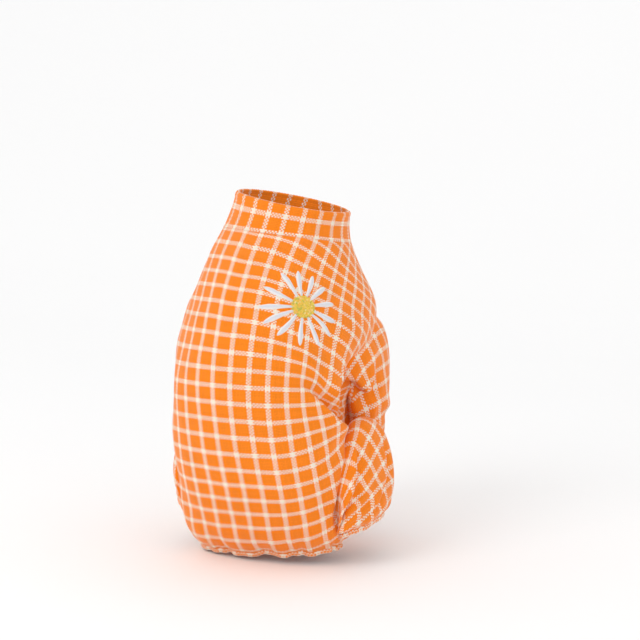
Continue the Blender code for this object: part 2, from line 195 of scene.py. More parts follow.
legFolds = [
    (0.80, 106, 0.79, 34, 0.0026, -0.0022),
    (0.865, 100, 0.86, 18, 0.0026, -0.0018),
    (0.74, 100, 0.68, 52, 0.0028, -0.0014),
    (0.40, -60, 0.95, -100, 0.006, -0.0024),
    (0.50, -15, 0.92, -40, 0.0055, 0.0015),
    (0.34, 16, 0.52, 22, 0.004, -0.0010),
]

# Sharp folds: cloth on one side of a path of alongs and turns stands over the cloth on its other side
bodyCreases = [
    {   # hip flap over the waist
        "path": [(0.612, -112), (0.600, -98), (0.574, -79.5), (0.549, -69),
                 (0.518, -62), (0.488, -55), (0.455, -46), (0.435, -37)],
        "rise": 0.0040, "riseWidth": 0.010, "drop": 0.0105, "dropWidth": 0.0085,
        "edge": 0.0012, "overhang": 0.0024, "fadeIn": 0.08, "fadeOut": 0.5,
    },
    {   # shoulder cloth over the armpit
        "path": [(0.565, -88), (0.547, -84), (0.524, -78), (0.492, -74.5),
                 (0.463, -74), (0.433, -81), (0.397, -83)],
        "rise": 0.0018, "riseWidth": 0.008, "drop": 0.0085, "dropWidth": 0.018,
        "edge": 0.0013, "overhang": 0.0018, "fadeIn": 0.12, "fadeOut": 0.4,
    },
    {   # seat cloth over the thigh
        "path": [(0.95, -60), (0.90, -60), (0.847, -60), (0.793, -65),
                 (0.746, -70.5), (0.705, -75.5), (0.662, -82), (0.630, -92)],
        "rise": 0.0016, "riseWidth": 0.010, "drop": 0.0080, "dropWidth": 0.022,
        "edge": 0.0013, "overhang": 0.0018, "fadeIn": 0.6, "fadeOut": 0.12,
    },
]
sleeveCreases = [
    {   # the upper sleeve bags over the elbow
        "path": [(0.45, 108), (0.47, 88), (0.51, 68), (0.575, 56),
                 (0.61, 45), (0.60, 34), (0.55, 27), (0.47, 24)],
        "rise": 0.0024, "riseWidth": 0.008, "drop": 0.0080, "dropWidth": 0.015,
        "edge": 0.0012, "overhang": 0.0016, "fadeIn": 0.15, "fadeOut": 0.45,
    },
]
legCreases = [
    {   # a fold that runs down from the knee
        "path": [(0.80, 116), (0.68, 84), (0.62, 62), (0.57, 56), (0.48, 43), (0.40, 36)],
        "rise": 0.0018, "riseWidth": 0.006, "drop": 0.0040, "dropWidth": 0.009,
        "edge": 0.0009, "overhang": 0.0014, "fadeIn": 0.15, "fadeOut": 0.3,
    },
    {   # and the next one in front of it
        "path": [(0.86, 20), (0.79, 13), (0.755, 8), (0.695, -2), (0.61, -5), (0.50, -3)],
        "rise": 0.0014, "riseWidth": 0.006, "drop": 0.0048, "dropWidth": 0.009,
        "edge": 0.0009, "overhang": 0.0012, "fadeIn": 0.15, "fadeOut": 0.3,
    },
]


def rowsAt(rows, share):
    rows = np.array(rows)
    place = np.clip(share, 0, 1) * (len(rows) - 1)
    index = np.minimum(place.astype(int), len(rows) - 2)
    t = (place - index)[:, None]
    a, b, c, d = (rows[np.clip(index + step, 0, len(rows) - 1)] for step in (-1, 0, 1, 2))
    slopeB, slopeC = (c - a) / 2, (d - b) / 2
    return (
        (2 * t**3 - 3 * t**2 + 1) * b + (t**3 - 2 * t**2 + t) * slopeB
        + (3 * t**2 - 2 * t**3) * c + (t**3 - t**2) * slopeC
    )


def ease(value):
    value = np.clip(value, 0, 1)
    return value * value * (3 - 2 * value)


def neckRow():
    s = bodyShape
    out = s["neckRadius"] * math.cos(s["neckLeanForward"])
    rise = s["neckRadius"] * math.sin(s["neckLeanForward"])
    return (
        out / s["backReach"], -rise / s["seatDrop"], out / s["chestReach"], rise / s["seatDrop"],
        s["neckRadius"] / s["hipHalfWidth"], 0.0,
    )


def plainBody(along, turn):
    s = bodyShape
    ring = rowsAt([neckRow()] + s["rings"], along)
    backY, backZ = ring[:, 0] * s["backReach"], -ring[:, 1] * s["seatDrop"]
    frontY, frontZ = -ring[:, 2] * s["chestReach"], -ring[:, 3] * s["seatDrop"]
    x = ring[:, 4] * s["hipHalfWidth"] * np.sin(turn) * (1 + ring[:, 5] * np.cos(turn))
    y = (backY + frontY) / 2 + (backY - frontY) / 2 * np.cos(turn)
    z = (backZ + frontZ) / 2 + (backZ - frontZ) / 2 * np.cos(turn)
    z = z - x * math.tan(s["seatLeanLeft"]) * ease((along - s["seatLeanStart"]) / 0.3)
    lean = s["neckLeanRight"] * (1 - ease(along / s["neckLeanEnd"]))
    return np.stack((x * np.cos(lean) - z * np.sin(lean), y, x * np.sin(lean) + z * np.cos(lean)), 1)


def plainLimb(shape, side, along, turn):
    out = shape["outLeft"] if side > 0 else shape["outRight"]
    ring = rowsAt(shape["rings"], along)
    innerX, innerZ = side * ring[:, 0] * out, -ring[:, 1] * shape["down"]
    outerX, outerZ = side * ring[:, 2] * out, -ring[:, 3] * shape["down"]
    x = (innerX + outerX) / 2 + (outerX - innerX) / 2 * np.cos(turn)
    z = (innerZ + outerZ) / 2 + (outerZ - innerZ) / 2 * np.cos(turn)
    y = ring[:, 4] * shape["fore"] + ring[:, 5] * shape["halfDepth"] * np.sin(turn)
    return np.stack((x, y, z), 1)


def foldPush(folds, along, turn, length, radius):
    push = np.zeros_like(along)
    for startAlong, startTurn, endAlong, endTurn, halfWidth, height in folds:
        start = np.array((startAlong * length, math.radians(startTurn) * radius))
        step = np.array((endAlong * length, math.radians(endTurn) * radius)) - start
        for wholeTurn in (-1, 0, 1):
            here = np.stack((along * length, (turn + wholeTurn * fullTurn) * radius), 1) - start
            share = np.clip(here @ step / (step @ step), 0, 1)
            far = np.linalg.norm(here - share[:, None] * step, axis=1) / halfWidth
            push += height * np.exp(-far * far)
    return push


def creaseMoves(creases, along, turn, length, radius):
    # how far the cloth moves out, round and along at each place
    moves = np.zeros((len(along), 3))
    here = np.stack((turn * radius, along * length), 1)
    for crease in creases:
        path = np.array([(math.radians(t) * radius, a * length) for a, t in crease["path"]])
        steps = np.diff(path, axis=0)
        lengths = np.linalg.norm(steps, axis=1)
        starts = np.concatenate(([0], np.cumsum(lengths)))
        nearest = np.full(len(along), 1e9)
        signed, share = np.zeros(len(along)), np.zeros(len(along))
        facing = np.zeros((len(along), 2))
        for i, step in enumerate(steps):
            t = np.clip((here - path[i]) @ step / lengths[i] ** 2, 0, 1)
            gap = here - path[i] - t[:, None] * step
            far = np.linalg.norm(gap, axis=1)
            side = np.sign(step[0] * gap[:, 1] - step[1] * gap[:, 0])
            closer = far < nearest
            nearest[closer] = far[closer]
            signed[closer] = (far * side)[closer]
            share[closer] = (starts[i] + t * lengths[i])[closer] / starts[-1]
            facing[closer] = np.array((-step[1], step[0])) / lengths[i]
        fade = ease(share / crease["fadeIn"]) * ease((1 - share) / crease["fadeOut"])
        over = 0.5 + 0.5 * np.tanh(signed / crease["edge"])
        ridge = crease["rise"] * np.exp(-(signed / crease["riseWidth"]) ** 2) * over
        dip = crease["drop"] * np.exp(-(signed / crease["dropWidth"]) ** 2) * (1 - over)
        lean = crease["overhang"] * np.exp(-(signed / crease["riseWidth"] / 0.6) ** 2) * over
        moves[:, 0] += fade * (ridge - dip)
        moves[:, 1:] -= facing * (fade * lean)[:, None]
    return moves


# Slow waves that keep the cloth from looking pressed: length and share of the height
waveKinds = {
    "waves": [(0.052, 0.5), (0.041, 0.45), (0.033, 0.4), (0.026, 0.3), (0.021, 0.25), (0.017, 0.18)],
    "bend": 0.6, "bendLength": 0.09,
}
waves = [
    (rng.normal(size=3), length, rng.uniform(0, fullTurn), height) for length, height in waveKinds["waves"]
]


def softWaves(points):
    total = np.zeros(len(points))
    for direction, length, phase, height in waves:
        direction = direction / np.linalg.norm(direction)
        bend = waveKinds["bend"] * np.sin(points[:, 2] * fullTurn / waveKinds["bendLength"] + phase)
        total += height * np.sin(points @ direction * fullTurn / length + phase + bend)
    return total


def puckers(shape):
    # where an elastic hem draws the cloth in: turn, depth, start along, width, lean
    spots = np.random.default_rng(shape["gathers"])
    count = shape["gathers"]
    turns = (np.arange(count) + spots.uniform(-0.3, 0.3, count)) * fullTurn / count
    first = shape["gatherStart"]
    found = []
    for turn in turns:
        depth = shape["gatherDepth"] * spots.uniform(0.15, 1.0) ** 1.3
        start = first + (1 - first) * spots.uniform(0, 0.65)
        width = shape["gatherWidth"] * spots.uniform(0.7, 1.3) / shape["gatherRadius"]
        found.append((turn, depth, start, width, spots.uniform(-0.5, 0.5)))
    return found


def gatherPush(shape, along, turn):
    push = np.zeros_like(along)
    for middle, depth, start, width, lean in puckers(shape):
        far = (turn - middle + lean * (1 - along) + math.pi) % fullTurn - math.pi
        push -= depth * np.exp(-(far / width) ** 2) * ease((along - start) / (1 - start))
    # the cloth bags a little over the hem
    end = shape["gatherStart"]
    share = np.clip((along - end) / (1 - end), 0, 1)
    push += shape["bag"] * np.sin(np.pi * share ** 1.6) ** 2
    return push, ease(share)


def pushed(plain, facing, along, turn, moves):
    # moves: out, round and along, in metres
    step = 0.004
    low, high = np.clip(along - step, 0, 1), np.clip(along + step, 0, 1)
    onward = plain(high, turn) - plain(low, turn)
    around = plain(along, turn + step) - plain(along, turn - step)
    normal = np.cross(around, onward) * facing
    onward, around, normal = (v / np.linalg.norm(v, axis=1)[:, None] for v in (onward, around, normal))
    return plain(along, turn) + normal * moves[:, :1] + around * moves[:, 1:2] + onward * moves[:, 2:]


def bodySurface(along, turn, inward=0.0):
    s = bodyShape
    length, radius = s["seatDrop"] + s["neckRadius"], s["hipHalfWidth"]
    ripple, pull = gatherPush(s, along, turn)
    moves = creaseMoves(bodyCreases, along, turn, length, radius) * (1 - pull)[:, None]
    waving = s["waviness"] * softWaves(plainBody(along, turn)) * ease(along / 0.12)
    moves[:, 0] += foldPush(bodyFolds, along, turn, length, radius) * (1 - pull) + waving + ripple - inward
    return pushed(plainBody, 1, along, turn, moves)


# A limb draws in where it is sewn to the body, found from a cloud of the body's points
seamTuck = {"depth": 0.0030, "width": 0.0065, "cloudRows": 90, "cloudColumns": 140}


def makeBodyCloud():
    alongs = np.linspace(0, 1, seamTuck["cloudRows"] + 1)
    turns = np.linspace(0, fullTurn, seamTuck["cloudColumns"] + 1)
    along, turn = np.meshgrid(alongs, turns, indexing="ij")
    points = bodySurface(along.ravel(), turn.ravel())
    cloud = KDTree(len(points))
    for i, point in enumerate(points):
        cloud.insert(point, i)
    cloud.balance()
    return cloud


bodyCloud = makeBodyCloud()


def limbSurface(shape, folds, creases, side):
    def plain(along, turn):
        return plainLimb(shape, side, along, turn)

    def surface(along, turn, inward=0.0):
        ripple, pull = gatherPush(shape, along, turn)
        length = shape["down"] * shape["lengthShare"]
        moves = creaseMoves(creases, along, turn, length, shape["halfDepth"]) * (1 - pull)[:, None]
        push = foldPush(folds, along, turn, length, shape["halfDepth"])
        points = plain(along, turn)
        near = np.array([bodyCloud.find(point)[2] for point in points])
        tuck = seamTuck["depth"] * np.exp(-(near / seamTuck["width"]) ** 2)
        waving = shape["waviness"] * softWaves(points)
        moves[:, 0] += push * (1 - pull) + waving + ripple - inward - tuck
        return pushed(plain, -side, along, turn, moves)

    return surface


# Meshes
weldGap = 2e-6


def flatSheet(columns, rows):
    # a flat sheet of cloth, with the column and the row from the top of each vertex
    bm = bmesh.new()
    layer = bm.loops.layers.uv.new("cloth")
    bmesh.ops.create_grid(bm, x_segments=columns, y_segments=rows, size=0.5)
    flat = np.array([vert.co[:] for vert in bm.verts])
    column = np.rint((flat[:, 0] + 0.5) * columns).astype(int)
    row = np.rint((0.5 - flat[:, 1]) * rows).astype(int)
    return bm, layer, column, row


def shapeSheet(bm, layer, points, places):
    for vert, point in zip(bm.verts, points):
        vert.co = point
    for face in bm.faces:
        for loop in face.loops:
            loop[layer].uv = places[loop.vert.index]
    bmesh.ops.remove_doubles(bm, verts=bm.verts, dist=weldGap)


def gridOf(columns, rows, turning, surface, pattern=None):
    # a tube of cloth, open at both ends, and without a pattern when it is only a cutter
    bm, layer, column, row = flatSheet(columns, rows)
    along, turn = row / rows, turning * (column / columns - 0.5) * fullTurn
    points = surface(along, turn)
    places = np.zeros((len(points), 2))
    if pattern:
        sheet = np.zeros((rows + 1, columns + 1, 3))
        sheet[row, column] = points
        alongs = np.linspace(0, 1, rows + 1)
        turns = turning * (np.linspace(0, 1, columns + 1) - 0.5) * fullTurn
        u, v = pattern(sheet, alongs, turns)
        places = np.stack((u[row, column], v[row, column]), 1)
    shapeSheet(bm, layer, points, places)
    return bm


def capped(bm):
    # a tube closed to a solid, to cut with
    edges = [edge for edge in bm.edges if edge.is_boundary]
    bmesh.ops.holes_fill(bm, edges=edges, sides=0)
    bmesh.ops.recalc_face_normals(bm, faces=bm.faces)
    if bm.calc_volume(signed=True) < 0:
        bmesh.ops.reverse_faces(bm, faces=bm.faces)
    return bm


def newObject(name, bm, material=None):
    mesh = bpy.data.meshes.new(name)
    bm.to_mesh(mesh)
    bm.free()
    mesh.shade_smooth()
    obj = bpy.data.objects.new(name, mesh)
    scene.collection.objects.link(obj)
    if material:
        mesh.materials.append(material)
    return obj


def settle(obj):
    # turns the modifiers into mesh
    graph = bpy.context.evaluated_depsgraph_get()
    mesh = bpy.data.meshes.new_from_object(obj.evaluated_get(graph))
    obj.modifiers.clear()
    obj.data = mesh
    mesh.shade_smooth()


def cutAway(obj, cutters):
    for cutter in cutters:
        boolean = obj.modifiers.new(cutter.name, "BOOLEAN")
        boolean.operation = "DIFFERENCE"
        boolean.solver = "EXACT"
        boolean.object = cutter
    settle(obj)
    for cutter in cutters:
        bpy.data.objects.remove(cutter)
    # the cutters' own walls carry no pattern, and come out again
    bm = bmesh.new()
    bm.from_mesh(obj.data)
    layer = bm.loops.layers.uv["cloth"]
    walls = [face for face in bm.faces if all(loop[layer].uv.length < 1e-7 for loop in face.loops)]
    print(f"{obj.name}: {len(walls)} cutter faces out")
    bmesh.ops.delete(bm, geom=walls, context="FACES")
    bm.to_mesh(obj.data)
    bm.free()


def addWall(obj, thickness):
    wall = obj.modifiers.new("wall", "SOLIDIFY")
    wall.thickness = thickness
    wall.offset = -1
    wall.use_even_offset = False
    settle(obj)


# Materials

def newGroup(name, inputs, outputs):
    group = bpy.data.node_groups.new(name, "ShaderNodeTree")
    for label, kind, value in inputs:
        socket = group.interface.new_socket(name=label, in_out="INPUT", socket_type=kind)
        if value is not None:
            socket.default_value = value
    for label, kind in outputs:
        group.interface.new_socket(name=label, in_out="OUTPUT", socket_type=kind)
    start, end = group.nodes.new("NodeGroupInput"), group.nodes.new("NodeGroupOutput")
    return group, start, end


def mathNode(tree, operation, first, second=None, third=None):
    node = tree.nodes.new("ShaderNodeMath")
    node.operation = operation
    for socket, value in zip(node.inputs, (first, second, third)):
        if value is None:
            continue
        if isinstance(value, (int, float)):
            socket.default_value = value
        else:
            tree.links.new(value, socket)
    return node.outputs[0]


def mixColour(tree, share, first, second, mode="MIX"):
    node = tree.nodes.new("ShaderNodeMix")
    node.data_type = "RGBA"
    node.blend_type = mode
    for socket, value in zip((node.inputs["Factor"], node.inputs[6], node.inputs[7]), (share, first, second)):
        if isinstance(value, (int, float, tuple)):
            socket.default_value = value
        else:
            tree.links.new(value, socket)
    return node.outputs[2]


def noiseNode(tree, vector, scale, detail=2):
    node = tree.nodes.new("ShaderNodeTexNoise")
    node.inputs["Scale"].default_value = scale
    node.inputs["Detail"].default_value = detail
    tree.links.new(vector, node.inputs["Vector"])
    return node.outputs["Fac"]


def shaded(tree, colour, shade):
    # the colour made lighter or darker from place to place
    grey = tree.nodes.new("ShaderNodeCombineColor")
    for socket in grey.inputs:
        tree.links.new(shade, socket)
    return mixColour(tree, 1.0, colour, grey.outputs[0], "MULTIPLY")


def newMaterial(name, roughness=None, sheen=0.0):
    material = bpy.data.materials.new(name)
    material.use_nodes = True
    tree = material.node_tree
    shader = tree.nodes["Principled BSDF"]
    if roughness is not None:
        shader.inputs["Roughness"].default_value = roughness
    shader.inputs["Sheen Weight"].default_value = sheen
    return material, tree, shader


def bumpFrom(tree, shader, height, strength, distance):
    bump = tree.nodes.new("ShaderNodeBump")
    bump.inputs["Strength"].default_value = strength
    bump.inputs["Distance"].default_value = distance
    tree.links.new(height, bump.inputs["Height"])
    tree.links.new(bump.outputs[0], shader.inputs["Normal"])


check = {
    "across": 0.012,            # one repeat of the check
    "along": 0.0114,
    "yarns": 11,                # yarns in a repeat
    "bandYarns": 3,             # of them white
    "orange": (0.93, 0.235, 0.012, 1),
    "white": (0.87, 0.755, 0.64, 1),
    "yarnHeight": 0.00012,
    # painted shade: the hems' orange is multiplied by this, darker for the shade they sit in
    "hemPaintedShade": 0.97,
}


def weaveGroup():
    # a plain weave of two yarn colours, worked out yarn by yarn
    group, start, end = newGroup(
        "check weave",
        [("Cloth", "NodeSocketVector", None), ("Across", "NodeSocketFloat", check["across"]),
         ("Along", "NodeSocketFloat", check["along"]), ("Orange", "NodeSocketColor", check["orange"]),
         ("White", "NodeSocketColor", check["white"])],
        [("Colour", "NodeSocketColor"), ("Height", "NodeSocketFloat"), ("Roughness", "NodeSocketFloat")],
    )
    split = group.nodes.new("ShaderNodeSeparateXYZ")
    group.links.new(start.outputs["Cloth"], split.inputs[0])
    yarns, band = check["yarns"], check["bandYarns"]
    indexes, whites, rounds = [], [], []
    for axis, pitch in (("X", "Across"), ("Y", "Along")):
        repeats = mathNode(group, "DIVIDE", split.outputs[axis], start.outputs[pitch])
        place = mathNode(group, "MULTIPLY_ADD", repeats, float(yarns), band / 2)
        index = mathNode(group, "FLOOR", place)
        inRepeat = mathNode(group, "FLOORED_MODULO", index, float(yarns))
        whites.append(mathNode(group, "LESS_THAN", inRepeat, band - 0.5))
        share = mathNode(group, "FRACT", place)
        rounds.append(mathNode(group, "SINE", mathNode(group, "MULTIPLY", share, math.pi)))
        indexes.append(index)
    both = mathNode(group, "ADD", indexes[0], indexes[1])
    warpOver = mathNode(group, "LESS_THAN", mathNode(group, "FLOORED_MODULO", both, 2.0), 0.5)
    weftOver = mathNode(group, "SUBTRACT", 1.0, warpOver)
    white = mathNode(
        group, "ADD",
        mathNode(group, "MULTIPLY", whites[0], warpOver), mathNode(group, "MULTIPLY", whites[1], weftOver),
    )
    height = mathNode(
        group, "ADD",
        mathNode(group, "MULTIPLY", rounds[0], warpOver), mathNode(group, "MULTIPLY", rounds[1], weftOver),
    )
    # each yarn is spun a little lighter or darker, and the dye is a little uneven
    pair = group.nodes.new("ShaderNodeCombineXYZ")
    group.links.new(mathNode(group, "MULTIPLY", indexes[0], warpOver), pair.inputs[0])
    group.links.new(mathNode(group, "MULTIPLY", indexes[1], weftOver), pair.inputs[1])
    spun = group.nodes.new("ShaderNodeTexWhiteNoise")
    group.links.new(pair.outputs[0], spun.inputs["Vector"])
    dye = noiseNode(group, start.outputs["Cloth"], 70, 4)
    fuzz = noiseNode(group, start.outputs["Cloth"], 2600)
    colour = mixColour(group, white, start.outputs["Orange"], start.outputs["White"])
    shade = mathNode(group, "MULTIPLY_ADD", spun.outputs["Value"], 0.10, 0.92)
    shade = mathNode(group, "MULTIPLY", shade, mathNode(group, "MULTIPLY_ADD", dye, 0.10, 0.95))
    # painted shade: each yarn is darker towards its sides, where it dips between its neighbours
    shade = mathNode(group, "MULTIPLY", shade, mathNode(group, "MULTIPLY_ADD", height, 0.30, 0.82))
    group.links.new(shaded(group, colour, shade), end.inputs["Colour"])
    group.links.new(mathNode(group, "MULTIPLY_ADD", fuzz, 0.35, height), end.inputs["Height"])
    group.links.new(mathNode(group, "MULTIPLY_ADD", fuzz, 0.12, 0.80), end.inputs["Roughness"])
    return group


weave = weaveGroup()


def clothMaterial(name, paintedShade=1.0):
    material, tree, shader = newMaterial(name, sheen=0.25)
    place = tree.nodes.new("ShaderNodeUVMap")
    place.uv_map = "cloth"
    group = tree.nodes.new("ShaderNodeGroup")
    group.node_tree = weave
    # painted shade: below 1 this makes a darker copy of the orange, for the hems
    orange = tuple(value * paintedShade for value in check["orange"][:3]) + (1,)
    group.inputs["Orange"].default_value = orange
    tree.links.new(place.outputs[0], group.inputs["Cloth"])
    tree.links.new(group.outputs["Colour"], shader.inputs["Base Color"])
    tree.links.new(group.outputs["Roughness"], shader.inputs["Roughness"])
    bumpFrom(tree, shader, group.outputs["Height"], 0.6, check["yarnHeight"])
    shader.inputs["Sheen Roughness"].default_value = 0.4
    shader.inputs["Specular IOR Level"].default_value = 0.15
    return material


cotton = clothMaterial("check cotton")
hemCotton = clothMaterial("hem cotton", check["hemPaintedShade"])
print("materials made")


# Body
bodyMake = {
    "columns": 250, "rows": 188, "cloth": 0.0012, "flat": (0.38, 0.25),
    "boreColumns": 60, "boreRows": 30, "boreInward": 0.0012,        # the limbs' holes, a little narrow
}
# How the check lies. Turns are degrees to the right of the back's middle, lone numbers repeats of the check.
drape = {
    # share along, and the turn that one light band keeps to down the back
    "spine": [(0.0, -0.3), (0.06, 1.3), (0.12, 2.6), (0.2, 3.3), (0.46, 2.8),
              (0.62, 3.2), (0.77, 3.8), (0.86, 2.9), (0.94, 1.4), (1.0, 0.3)],
    # share along of each light band round the body, from the one below the neck seam
    "bands": [0.015, 0.061, 0.107, 0.153, 0.198, 0.242, 0.284, 0.326, 0.370, 0.416, 0.463, 0.510, 0.558,
              0.606, 0.655, 0.702, 0.747, 0.791, 0.836, 0.883, 0.933, 0.985],
    # turn, and the share along where the shoulder's hang ends
    "hangEnds": [(20, 0.37), (30, 0.38), (46, 0.405), (54, 0.435), (62, 0.48),
                 (75, 0.53), (90, 0.585), (112, 0.60), (150, 0.56)],
    # turn, and half the share of the length that it ends over
    "hangBlurs": [(30, 0.10), (46, 0.08), (54, 0.065), (62, 0.05),
                  (75, 0.035), (90, 0.03), (112, 0.10), (150, 0.42)],
    "hang": 3.5, "leftLift": 0.15, "drawn": 0.92, "taken": 0.45, "slack": 0.45,
    "hangPower": 1.9, "drawnPower": 1.5,        # how fast they grow round the body
    "evened": {"body": 3, "limb": 9},           # rows each way that a row's length is evened over
}


def lengthsAround(sheet, reach):
    # length of cloth from each row's start, evened over neighbouring rows
    steps = np.linalg.norm(np.diff(sheet, axis=1), axis=2)
    padded = np.pad(steps, ((reach, reach), (0, 0)), mode="edge")
    rows = len(steps)
    shares = reach + 1 - np.abs(np.arange(-reach, reach + 1))
    steps = sum(share * padded[i:i + rows] for i, share in enumerate(shares)) / shares.sum()
    return np.concatenate((np.zeros((rows, 1)), np.cumsum(steps, axis=1)), 1)


def bodyPattern(sheet, alongs, turns):
    d = drape
    lengths = lengthsAround(sheet, d["evened"]["body"])
    spine = np.radians(np.interp(alongs, *zip(*d["spine"])))
    u = np.zeros_like(lengths)
    for i, line in enumerate(lengths):
        u[i] = line - np.interp(spine[i], -turns, line)
    bands = d["bands"]
    before, after = 2 * bands[0] - bands[1], 2 * bands[-1] - bands[-2]
    v = np.interp(alongs, [before, *bands, after], range(len(bands) + 2))
    v = np.repeat(v[:, None], len(turns), 1) * check["along"]
    # the cloth hangs down over the right shoulder, and is drawn up again under the hip flap
    turned = -np.degrees(turns)[None, :]
    across = alongs[:, None]
    middle = np.interp(turned, *zip(*d["hangEnds"]))
    blur = np.interp(turned, *zip(*d["hangBlurs"]))
    above = 1 - ease((across - middle + blur) / (2 * blur))
    hang = d["hang"] * (np.clip(turned - 3, 0, 110) / 90) ** d["hangPower"] - d["leftLift"] * ease(-turned / 20)
    low = ease((across - 0.46) / 0.17)
    drawn = d["drawn"] * (np.clip(turned - 22, 0, 70) / 38) ** d["drawnPower"]
    chest = ease((turned - 95) / 80)        # where nothing is drawn up, and the hang grows less
    v = v + check["along"] * (low * drawn * (1 - chest) - above * hang * (1 - 0.25 * chest))
    # cloth taken up in the flap's folds
    taken = d["taken"] * np.exp(-((turned - 60) / 14) ** 2 - ((across - 0.47) / 0.07) ** 2)
    slack = d["slack"] * ease((turned - 64) / 20) * np.exp(-((across - 0.31) / 0.05) ** 2)
    u = u + check["across"] * (taken - slack)
    return u, v


def makeBore(shape, folds, creases, side):
    m = bodyMake
    surface = limbSurface(shape, folds, creases, side)
    tube = gridOf(m["boreColumns"], m["boreRows"], side, lambda a, t: surface(a, t, m["boreInward"]))
    return newObject("bore", capped(tube))


limbKinds = [("sleeve", sleeveShape, sleeveFolds, sleeveCreases), ("leg", legShape, legFolds, legCreases)]
sides = [("left", 1), ("right", -1)]


def foldsFor(kind, folds, creases, side):
    # only the right sleeve is drawn in at the armpit
    return (folds[1:], []) if kind == "sleeve" and side > 0 else (folds, creases)


def makeBody():
    tube = gridOf(bodyMake["columns"], bodyMake["rows"], -1, bodySurface, bodyPattern)
    body = newObject("body_cloth", tube, cotton)
    bores = []
    for kind, shape, folds, creases in limbKinds:
        for _, side in sides:
            bores.append(makeBore(shape, *foldsFor(kind, folds, creases, side), side))
    cutAway(body, bores)
    addWall(body, bodyMake["cloth"])
    return body


body = makeBody()
print("body made", len(body.data.polygons))


# Sleeves and legs
limbMake = {
    "sleeve": {
        "columns": 180, "rows": 150, "cloth": 0.0012, "flat": (0.17, 0.08),
        "grain": {"left": math.radians(14), "right": math.radians(10)},
    },
    "leg": {
        "columns": 210, "rows": 140, "cloth": 0.0012, "flat": (0.17, 0.055),
        "grain": {"left": math.radians(20), "right": math.radians(20)},
    },
    "blockColumns": 140, "blockRows": 100, "blockInward": 0.0007,       # the body, as what cuts a limb off
}


def limbPattern(grain):
    def pattern(sheet, alongs, turns):
        lengths = lengthsAround(sheet, drape["evened"]["limb"])
        middle = len(turns) // 2
        u = lengths - lengths[:, middle:middle + 1]
        down = np.linalg.norm(np.diff(sheet[:, middle], axis=0), axis=1)
        v = np.concatenate(([0], np.cumsum(down)))[:, None] + 0 * u
        return u * math.cos(grain) - v * math.sin(grain), u * math.sin(grain) + v * math.cos(grain)

    return pattern


def makeLimb(kind, shape, folds, creases, sideName, side):
    m = limbMake[kind]
    surface = limbSurface(shape, *foldsFor(kind, folds, creases, side), side)
    tube = gridOf(m["columns"], m["rows"], side, surface, limbPattern(m["grain"][sideName]))
    limb = newObject(f"{kind}_{sideName}_cloth", tube, cotton)
    inward = limbMake["blockInward"]
    block = gridOf(limbMake["blockColumns"], limbMake["blockRows"], -1, lambda a, t: bodySurface(a, t, inward))
    cutAway(limb, [newObject("block", capped(block))])
    addWall(limb, m["cloth"])
    return limb, surface


limbs = {}
for kind, shape, folds, creases in limbKinds:
    for sideName, side in sides:
        limbs[kind, sideName] = makeLimb(kind, shape, folds, creases, sideName, side)
print("sleeves and legs made")


# Hems: a rolled casing drawn in by its elastic
hemMake = {
    "height": 0.0042, "thickness": 0.0026, "around": {"seat": 336, "sleeve": 108, "leg": 132}, "section": 14,
    "strip": 0.011,             # its width before it is folded
}


def makeHem(name, surface, turning, columns, gathers):
    ring = np.linspace(0, 1, columns + 1)
    turn = turning * (ring - 0.5) * fullTurn
    edge = surface(np.ones(columns + 1), turn)
    before = surface(np.full(columns + 1, 0.985), turn)
    middle = edge[:-1].mean(0)
    onward = edge - before
    onward = onward.mean(0) / np.linalg.norm(onward.mean(0))
    out = edge - middle
    out -= (out @ onward)[:, None] * onward
    out /= np.linalg.norm(out, axis=1)[:, None]
    puff = 0.5 + 0.5 * np.cos(gathers * turn + 1.6 * np.sin(3 * turn) + np.sin(7 * turn))
    lengths = np.concatenate(([0], np.cumsum(np.linalg.norm(np.diff(edge, axis=0), axis=1))))
    bm, layer, column, row = flatSheet(columns, hemMake["section"])
    angle = row / hemMake["section"] * fullTurn
    half, high = hemMake["thickness"] / 2, hemMake["height"] / 2
    thick = half * (0.85 + 0.25 * puff[column])
    outward = np.sign(np.cos(angle)) * np.abs(np.cos(angle)) ** 0.8 * thick - half * 0.9
    down = -np.sin(angle) * high * (0.92 + 0.16 * puff[column]) + high * 0.96
    points = edge[column] + out[column] * outward[:, None] + onward * down[:, None]
    v = row / hemMake["section"] * 2 * (hemMake["height"] + hemMake["thickness"])
    shapeSheet(bm, layer, points, np.stack((lengths[column], v), 1))
    bmesh.ops.recalc_face_normals(bm, faces=bm.faces)
    return newObject(name, bm, hemCotton), lengths[-1]


around = hemMake["around"]
hems = {"seat": makeHem("seat_hem_roll", bodySurface, -1, around["seat"], bodyShape["gathers"])}
for kind, shape, *_ in limbKinds:
    for sideName, side in sides:
        place = f"{kind}_{sideName}"
        surface = limbs[kind, sideName][1]
        hems[place] = makeHem(place + "_hem_roll", surface, side, around[kind], shape["gathers"])
print("hems made")


# Collar: a doubled band with a soft folded edge
collarMake = {
    "height": 0.023, "cloth": 0.0026, "topRadius": 0.038, "leanForward": math.radians(5),
    "leanRight": math.radians(9.6), "columns": 220, "section": 44, "flat": (0.26, 0.024),
    "footShare": 0.045,         # of the height, that it is sewn over the body's edge
    # share round the section, up the outer face, over the fold and down the inner face: rise and depth
    "rises": [(0, 0), (0.42, 0.955), (0.46, 0.985), (0.5, 1.0), (0.54, 0.985), (0.58, 0.955), (1, 0)],
    "depths": [(0, 0.5), (0.02, 0.1), (0.42, 0), (0.46, 0.14), (0.5, 0.5),
               (0.54, 0.86), (0.58, 1), (0.98, 0.95), (1, 0.5)],
}


